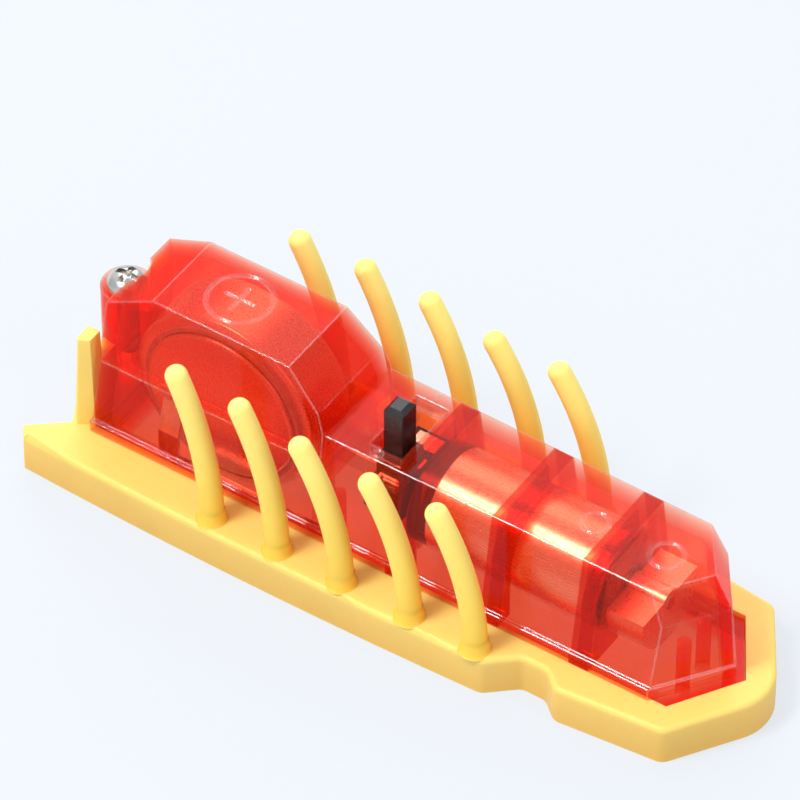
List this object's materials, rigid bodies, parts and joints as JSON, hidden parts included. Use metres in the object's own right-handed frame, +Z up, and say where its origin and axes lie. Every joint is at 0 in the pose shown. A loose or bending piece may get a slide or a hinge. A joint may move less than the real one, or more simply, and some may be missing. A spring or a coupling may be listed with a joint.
{
  "type": "vibrating toy bug",
  "caption": "Palm-size vibrating toy bug on its back: clear shell with motor, button cell and slide switch, on a rubber skirt with curved legs.",
  "frame": {"origin": "on the surface that the toy lies on, under the middle of its length and width", "axes": "+X to the nose, +Y to the left row of legs as seen from above the belly with the nose forward, +Z up, from the rubber's flat face to the leg tips"},
  "size_m": [0.0444, 0.0145, 0.0129],
  "materials": {
    "clear_red": "clear tinted polystyrene, polished outside",
    "yellow_rubber": "soft moulded rubber, satin",
    "plated_steel": "nickel plated",
    "cell_steel": "bright, fine turned",
    "contact_metal": "nickel plated spring strip",
    "motor_steel": "drawn and plated can",
    "black_plastic": "moulded",
    "seal_nylon": "translucent seal",
    "brass": "plain",
    "dark_magnet": "sintered",
    "coil_copper": "enamelled winding",
    "tungsten": "sintered heavy metal"
  },
  "bodies": {
    "body": {"rubber_skirt": "yellow_rubber", "back_plate": "clear_red", "body_shell": "clear_red", "contact_negative": "contact_metal", "contact_positive": "contact_metal", "switch_base": "black_plastic", "switch_pads": "contact_metal", "motor_can": "motor_steel", "motor_end_cap": "black_plastic", "motor_bearing": "brass", "motor_magnet": "dark_magnet", "motor_terminals": "brass"},
    "cover": {"battery_cover": "clear_red"},
    "screw": {"cover_screw": "plated_steel"},
    "cell": {"cell_can": "cell_steel", "cell_cap": "cell_steel", "cell_gasket": "seal_nylon"},
    "switch": {"switch_lever": "black_plastic", "switch_wiper": "contact_metal"},
    "rotor": {"motor_shaft": "plated_steel", "motor_coil": "coil_copper", "eccentric_weight": "tungsten"},
    "leg_left_1_body": {"leg_left_1": "yellow_rubber"},
    "leg_left_2_body": {"leg_left_2": "yellow_rubber"},
    "leg_left_3_body": {"leg_left_3": "yellow_rubber"},
    "leg_left_4_body": {"leg_left_4": "yellow_rubber"},
    "leg_left_5_body": {"leg_left_5": "yellow_rubber"},
    "leg_right_1_body": {"leg_right_1": "yellow_rubber"},
    "leg_right_2_body": {"leg_right_2": "yellow_rubber"},
    "leg_right_3_body": {"leg_right_3": "yellow_rubber"},
    "leg_right_4_body": {"leg_right_4": "yellow_rubber"},
    "leg_right_5_body": {"leg_right_5": "yellow_rubber"}
  },
  "joints": [
    {"name": "cover_lift", "type": "slide", "parent": "body", "child": "cover", "axis": [0, 0, 1], "range_m": [0, 0.012]},
    {"name": "screw_turn", "type": "hinge", "parent": "cover", "child": "screw", "pos_m": [-0.0192, 0, 0.0099], "axis": [0, 0, 1], "continuous": true},
    {"name": "cell_lift", "type": "slide", "parent": "body", "child": "cell", "axis": [0, 0, 1], "range_m": [0, 0.0066]},
    {"name": "switch_slide", "type": "slide", "parent": "body", "child": "switch", "axis": [0, 1, 0], "range_m": [0, 0.0018]},
    {"name": "rotor_spin", "type": "hinge", "parent": "body", "child": "rotor", "pos_m": [0.0078, 0, 0.0056], "axis": [1, 0, 0], "continuous": true},
    {"name": "leg_left_1_flex", "type": "hinge", "parent": "body", "child": "leg_left_1_body", "pos_m": [-0.0095, 0.00605, 0.0025], "axis": [0, 1, 0], "range_deg": [-8, 8], "stiffness_Nm_per_rad": 0.00005},
    {"name": "leg_left_2_flex", "type": "hinge", "parent": "body", "child": "leg_left_2_body", "pos_m": [-0.0052, 0.00605, 0.0025], "axis": [0, 1, 0], "range_deg": [-8, 8], "stiffness_Nm_per_rad": 0.00005},
    {"name": "leg_left_3_flex", "type": "hinge", "parent": "body", "child": "leg_left_3_body", "pos_m": [-0.001, 0.00605, 0.0025], "axis": [0, 1, 0], "range_deg": [-8, 8], "stiffness_Nm_per_rad": 0.00005},
    {"name": "leg_left_4_flex", "type": "hinge", "parent": "body", "child": "leg_left_4_body", "pos_m": [0.0034, 0.00605, 0.0025], "axis": [0, 1, 0], "range_deg": [-8, 8], "stiffness_Nm_per_rad": 0.00005},
    {"name": "leg_left_5_flex", "type": "hinge", "parent": "body", "child": "leg_left_5_body", "pos_m": [0.0076, 0.00605, 0.0025], "axis": [0, 1, 0], "range_deg": [-8, 8], "stiffness_Nm_per_rad": 0.00005},
    {"name": "leg_right_1_flex", "type": "hinge", "parent": "body", "child": "leg_right_1_body", "pos_m": [-0.0095, -0.00605, 0.0025], "axis": [0, 1, 0], "range_deg": [-8, 8], "stiffness_Nm_per_rad": 0.00005},
    {"name": "leg_right_2_flex", "type": "hinge", "parent": "body", "child": "leg_right_2_body", "pos_m": [-0.0052, -0.00605, 0.0025], "axis": [0, 1, 0], "range_deg": [-8, 8], "stiffness_Nm_per_rad": 0.00005},
    {"name": "leg_right_3_flex", "type": "hinge", "parent": "body", "child": "leg_right_3_body", "pos_m": [-0.001, -0.00605, 0.0025], "axis": [0, 1, 0], "range_deg": [-8, 8], "stiffness_Nm_per_rad": 0.00005},
    {"name": "leg_right_4_flex", "type": "hinge", "parent": "body", "child": "leg_right_4_body", "pos_m": [0.0034, -0.00605, 0.0025], "axis": [0, 1, 0], "range_deg": [-8, 8], "stiffness_Nm_per_rad": 0.00005},
    {"name": "leg_right_5_flex", "type": "hinge", "parent": "body", "child": "leg_right_5_body", "pos_m": [0.0076, -0.00605, 0.0025], "axis": [0, 1, 0], "range_deg": [-8, 8], "stiffness_Nm_per_rad": 0.00005}
  ],
  "couplings": [
    {"joint": "cell_lift", "follows": "cover_lift", "ratio": 0.55}
  ]
}
